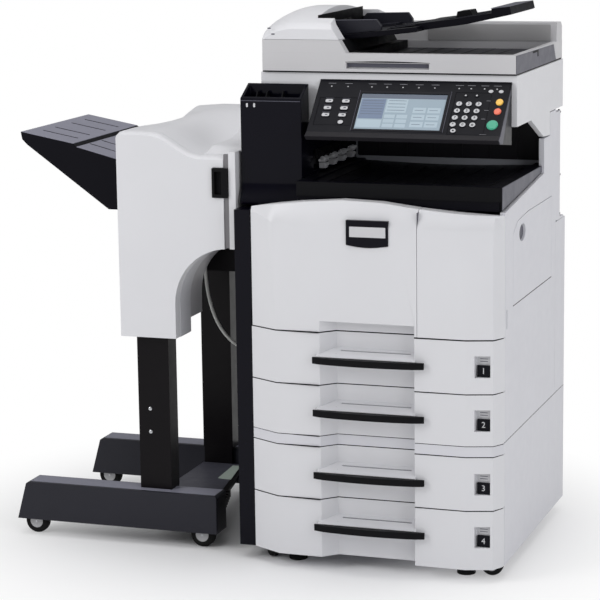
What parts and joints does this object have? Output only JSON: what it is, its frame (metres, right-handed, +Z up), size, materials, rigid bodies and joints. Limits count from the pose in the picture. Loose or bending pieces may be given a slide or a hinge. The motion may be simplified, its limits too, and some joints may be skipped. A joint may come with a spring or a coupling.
{
  "type": "photocopier",
  "caption": "Floor-standing A3 photocopier with document feeder, tilted control panel, paper drawers, side bypass tray, casters and a docked finisher on a wheeled stand.",
  "frame": {"origin": "middle of the assembly's bounding box, on the floor", "axes": "+Z up, the operator stands on the -Y side, +X is the operator's right"},
  "size_m": [1.153, 0.654, 1.204],
  "materials": {
    "rear_cover": "fine textured light grey-white ABS",
    "right_cover": "fine textured light grey-white ABS",
    "front_door": "fine textured light grey-white ABS",
    "front_right_cover": "fine textured light grey-white ABS",
    "mp_tray": "fine textured light grey-white ABS",
    "scanner_housing": "fine textured light grey-white ABS",
    "dp_body": "fine textured light grey-white ABS",
    "dp_feeder_cover": "fine textured light grey-white ABS",
    "finisher_body": "fine textured light grey-white ABS",
    "finisher_front_cover": "fine textured light grey-white ABS",
    "drawer_front_1": "fine textured light grey-white ABS",
    "drawer_front_2": "fine textured light grey-white ABS",
    "drawer_front_3": "fine textured light grey-white ABS",
    "drawer_front_4": "fine textured light grey-white ABS",
    "feeder_cabinet": "light grey-white painted steel with plastic front rail",
    "main_frame": "grey galvanised and painted steel",
    "drawer_tray_1": "grey galvanised and painted steel",
    "drawer_tray_2": "grey galvanised and painted steel",
    "drawer_tray_3": "grey galvanised and painted steel",
    "drawer_tray_4": "grey galvanised and painted steel",
    "left_cover": "satin black",
    "bridge_unit": "satin black",
    "panel_housing": "satin black",
    "numeric_keypad": "satin black",
    "function_keys": "satin black",
    "inner_tray": "matt black",
    "toner_container": "matt black",
    "finisher_handle": "matt black",
    "caster_fork_left": "matt black",
    "caster_fork_right": "matt black",
    "levelling_foot_left": "matt black",
    "levelling_foot_right": "matt black",
    "drawer_grip_1": "matt black",
    "drawer_grip_2": "matt black",
    "drawer_grip_3": "matt black",
    "drawer_grip_4": "matt black",
    "finisher_stand": "black powder coat",
    "drum_unit": "dark slate, fine texture",
    "scan_carriage": "dark slate, fine texture",
    "dp_tray": "dark slate, fine texture",
    "dp_guide_front": "dark slate, fine texture",
    "dp_guide_rear": "dark slate, fine texture",
    "finisher_tray": "dark slate, fine texture",
    "finisher_foot_front": "dark slate, fine texture",
    "finisher_foot_rear": "dark slate, fine texture",
    "caster_wheel_left": "dark wheel tread",
    "caster_wheel_right": "dark wheel tread",
    "caster_wheel_rear_left": "dark wheel tread",
    "caster_wheel_rear_right": "dark wheel tread",
    "finisher_wheel_fl": "dark wheel tread",
    "finisher_wheel_fr": "dark wheel tread",
    "finisher_wheel_rl": "dark wheel tread",
    "finisher_wheel_rr": "dark wheel tread",
    "interface_cable": "light grey cable jacket",
    "exit_roller": "white roller on a steel shaft",
    "platen_glass": "clear platen glass",
    "touch_screen": "touch screen behind a clear film",
    "start_key": "green key",
    "stop_key": "orange-red key",
    "reset_key": "yellow key"
  },
  "bodies": {
    "machine": {"main_frame": "main_frame", "left_cover": "left_cover", "rear_cover": "rear_cover", "right_cover": "right_cover", "front_right_cover": "front_right_cover", "inner_tray": "inner_tray", "toner_container": "toner_container", "drum_unit": "drum_unit", "scanner_housing": "scanner_housing", "platen_glass": "platen_glass", "panel_housing": "panel_housing", "touch_screen": "touch_screen", "bridge_unit": "bridge_unit", "feeder_cabinet": "feeder_cabinet", "finisher_body": "finisher_body", "finisher_stand": "finisher_stand", "finisher_foot_front": "finisher_foot_front", "finisher_foot_rear": "finisher_foot_rear", "interface_cable": "interface_cable"},
    "front_door": {"front_door": "front_door"},
    "mp_tray": {"mp_tray": "mp_tray"},
    "scan_carriage": {"scan_carriage": "scan_carriage"},
    "exit_roller": {"exit_roller": "exit_roller"},
    "document_feeder": {"dp_body": "dp_body"},
    "feeder_cover": {"dp_feeder_cover": "dp_feeder_cover"},
    "original_tray": {"dp_tray": "dp_tray"},
    "guide_front": {"dp_guide_front": "dp_guide_front"},
    "guide_rear": {"dp_guide_rear": "dp_guide_rear"},
    "start_key": {"start_key": "start_key"},
    "stop_key": {"stop_key": "stop_key"},
    "reset_key": {"reset_key": "reset_key"},
    "numeric_keypad": {"numeric_keypad": "numeric_keypad"},
    "function_keys": {"function_keys": "function_keys"},
    "caster_swivel_left": {"caster_fork_left": "caster_fork_left"},
    "caster_swivel_right": {"caster_fork_right": "caster_fork_right"},
    "levelling_foot_left": {"levelling_foot_left": "levelling_foot_left"},
    "levelling_foot_right": {"levelling_foot_right": "levelling_foot_right"},
    "finisher_cover": {"finisher_front_cover": "finisher_front_cover", "finisher_handle": "finisher_handle"},
    "finisher_tray": {"finisher_tray": "finisher_tray"},
    "drawer_1": {"drawer_front_1": "drawer_front_1", "drawer_tray_1": "drawer_tray_1", "drawer_grip_1": "drawer_grip_1"},
    "drawer_2": {"drawer_front_2": "drawer_front_2", "drawer_tray_2": "drawer_tray_2", "drawer_grip_2": "drawer_grip_2"},
    "drawer_3": {"drawer_front_3": "drawer_front_3", "drawer_tray_3": "drawer_tray_3", "drawer_grip_3": "drawer_grip_3"},
    "drawer_4": {"drawer_front_4": "drawer_front_4", "drawer_tray_4": "drawer_tray_4", "drawer_grip_4": "drawer_grip_4"},
    "caster_wheel_left": {"caster_wheel_left": "caster_wheel_left"},
    "caster_wheel_right": {"caster_wheel_right": "caster_wheel_right"},
    "caster_wheel_rear_left": {"caster_wheel_rear_left": "caster_wheel_rear_left"},
    "caster_wheel_rear_right": {"caster_wheel_rear_right": "caster_wheel_rear_right"},
    "finisher_wheel_fl": {"finisher_wheel_fl": "finisher_wheel_fl"},
    "finisher_wheel_fr": {"finisher_wheel_fr": "finisher_wheel_fr"},
    "finisher_wheel_rl": {"finisher_wheel_rl": "finisher_wheel_rl"},
    "finisher_wheel_rr": {"finisher_wheel_rr": "finisher_wheel_rr"}
  },
  "joints": [
    {"name": "front_door_hinge", "type": "hinge", "parent": "machine", "child": "front_door", "pos_m": [0.2093, -0.305, 0.5285], "axis": [1, 0, 0], "range_deg": [0, 85]},
    {"name": "drawer_1_slide", "type": "slide", "parent": "machine", "child": "drawer_1", "axis": [0, -1, 0], "range_m": [0, 0.4]},
    {"name": "drawer_2_slide", "type": "slide", "parent": "machine", "child": "drawer_2", "axis": [0, -1, 0], "range_m": [0, 0.4]},
    {"name": "drawer_3_slide", "type": "slide", "parent": "machine", "child": "drawer_3", "axis": [0, -1, 0], "range_m": [0, 0.4]},
    {"name": "drawer_4_slide", "type": "slide", "parent": "machine", "child": "drawer_4", "axis": [0, -1, 0], "range_m": [0, 0.4]},
    {"name": "mp_tray_hinge", "type": "hinge", "parent": "machine", "child": "mp_tray", "pos_m": [0.5763, 0.006, 0.582], "axis": [0, 1, 0], "range_deg": [0, 75]},
    {"name": "scan_carriage_slide", "type": "slide", "parent": "machine", "child": "scan_carriage", "axis": [1, 0, 0], "range_m": [0, 0.42]},
    {"name": "exit_roller_spin", "type": "hinge", "parent": "machine", "child": "exit_roller", "pos_m": [0.1298, 0.011, 0.872], "axis": [0, 1, 0], "continuous": true},
    {"name": "document_feeder_hinge", "type": "hinge", "parent": "machine", "child": "document_feeder", "pos_m": [0.2933, 0.29, 1.068], "axis": [-1, 0, 0], "range_deg": [0, 65]},
    {"name": "feeder_cover_hinge", "type": "hinge", "parent": "document_feeder", "child": "feeder_cover", "pos_m": [0.0127, 0.07, 1.1362], "axis": [0, -1, 0], "range_deg": [0, 70]},
    {"name": "original_tray_hinge", "type": "hinge", "parent": "document_feeder", "child": "original_tray", "pos_m": [0.1343, 0.057, 1.131], "axis": [0, -1, 0], "range_deg": [0, 20]},
    {"name": "guide_front_slide", "type": "slide", "parent": "original_tray", "child": "guide_front", "axis": [0, 1, 0], "range_m": [0, 0.06]},
    {"name": "guide_rear_slide", "type": "slide", "parent": "original_tray", "child": "guide_rear", "axis": [0, 1, 0], "range_m": [-0.06, 0]},
    {"name": "start_key_press", "type": "slide", "parent": "machine", "child": "start_key", "axis": [0, 0.7071, -0.7071], "range_m": [0, 0.001], "stiffness_N_per_m": 500},
    {"name": "stop_key_press", "type": "slide", "parent": "machine", "child": "stop_key", "axis": [0, 0.7071, -0.7071], "range_m": [0, 0.001], "stiffness_N_per_m": 500},
    {"name": "reset_key_press", "type": "slide", "parent": "machine", "child": "reset_key", "axis": [0, 0.7071, -0.7071], "range_m": [0, 0.001], "stiffness_N_per_m": 500},
    {"name": "numeric_keypad_press", "type": "slide", "parent": "machine", "child": "numeric_keypad", "axis": [0, 0.7071, -0.7071], "range_m": [0, 0.001], "stiffness_N_per_m": 1200},
    {"name": "function_keys_press", "type": "slide", "parent": "machine", "child": "function_keys", "axis": [0, 0.7071, -0.7071], "range_m": [0, 0.001], "stiffness_N_per_m": 1200},
    {"name": "caster_swivel_left", "type": "hinge", "parent": "machine", "child": "caster_swivel_left", "pos_m": [0.0463, -0.207, 0.055], "axis": [0, 0, 1], "range_deg": [-18, 25]},
    {"name": "caster_swivel_right", "type": "hinge", "parent": "machine", "child": "caster_swivel_right", "pos_m": [0.5273, -0.221, 0.055], "axis": [0, 0, 1], "range_deg": [-20, 100]},
    {"name": "caster_spin_left", "type": "hinge", "parent": "caster_swivel_left", "child": "caster_wheel_left", "pos_m": [0.0463, -0.221, 0.0245], "axis": [1, 0, 0], "continuous": true},
    {"name": "caster_spin_right", "type": "hinge", "parent": "caster_swivel_right", "child": "caster_wheel_right", "pos_m": [0.5433, -0.221, 0.0245], "axis": [0, 1, 0], "continuous": true},
    {"name": "caster_spin_rear_left", "type": "hinge", "parent": "machine", "child": "caster_wheel_rear_left", "pos_m": [0.0713, 0.264, 0.0245], "axis": [1, 0, 0], "continuous": true},
    {"name": "caster_spin_rear_right", "type": "hinge", "parent": "machine", "child": "caster_wheel_rear_right", "pos_m": [0.5213, 0.264, 0.0245], "axis": [1, 0, 0], "continuous": true},
    {"name": "levelling_turn_left", "type": "hinge", "parent": "machine", "child": "levelling_foot_left", "pos_m": [0.1033, -0.223, 0.01], "axis": [0, 0, 1], "continuous": true},
    {"name": "levelling_turn_right", "type": "hinge", "parent": "machine", "child": "levelling_foot_right", "pos_m": [0.4863, -0.223, 0.01], "axis": [0, 0, 1], "continuous": true},
    {"name": "finisher_cover_hinge", "type": "hinge", "parent": "machine", "child": "finisher_cover", "pos_m": [-0.3027, -0.225, 0.7], "axis": [0, 0, -1], "range_deg": [0, 95]},
    {"name": "finisher_tray_lift", "type": "slide", "parent": "machine", "child": "finisher_tray", "axis": [0, 0, 1], "range_m": [-0.18, 0]},
    {"name": "finisher_wheel_fl_spin", "type": "hinge", "parent": "machine", "child": "finisher_wheel_fl", "pos_m": [-0.5397, -0.1965, 0.028], "axis": [0, 1, 0], "continuous": true},
    {"name": "finisher_wheel_fr_spin", "type": "hinge", "parent": "machine", "child": "finisher_wheel_fr", "pos_m": [-0.1307, -0.1965, 0.028], "axis": [0, 1, 0], "continuous": true},
    {"name": "finisher_wheel_rl_spin", "type": "hinge", "parent": "machine", "child": "finisher_wheel_rl", "pos_m": [-0.5397, 0.2235, 0.028], "axis": [0, 1, 0], "continuous": true},
    {"name": "finisher_wheel_rr_spin", "type": "hinge", "parent": "machine", "child": "finisher_wheel_rr", "pos_m": [-0.1307, 0.2235, 0.028], "axis": [0, 1, 0], "continuous": true}
  ],
  "couplings": [
    {"joint": "guide_rear_slide", "follows": "guide_front_slide", "ratio": -1}
  ]
}
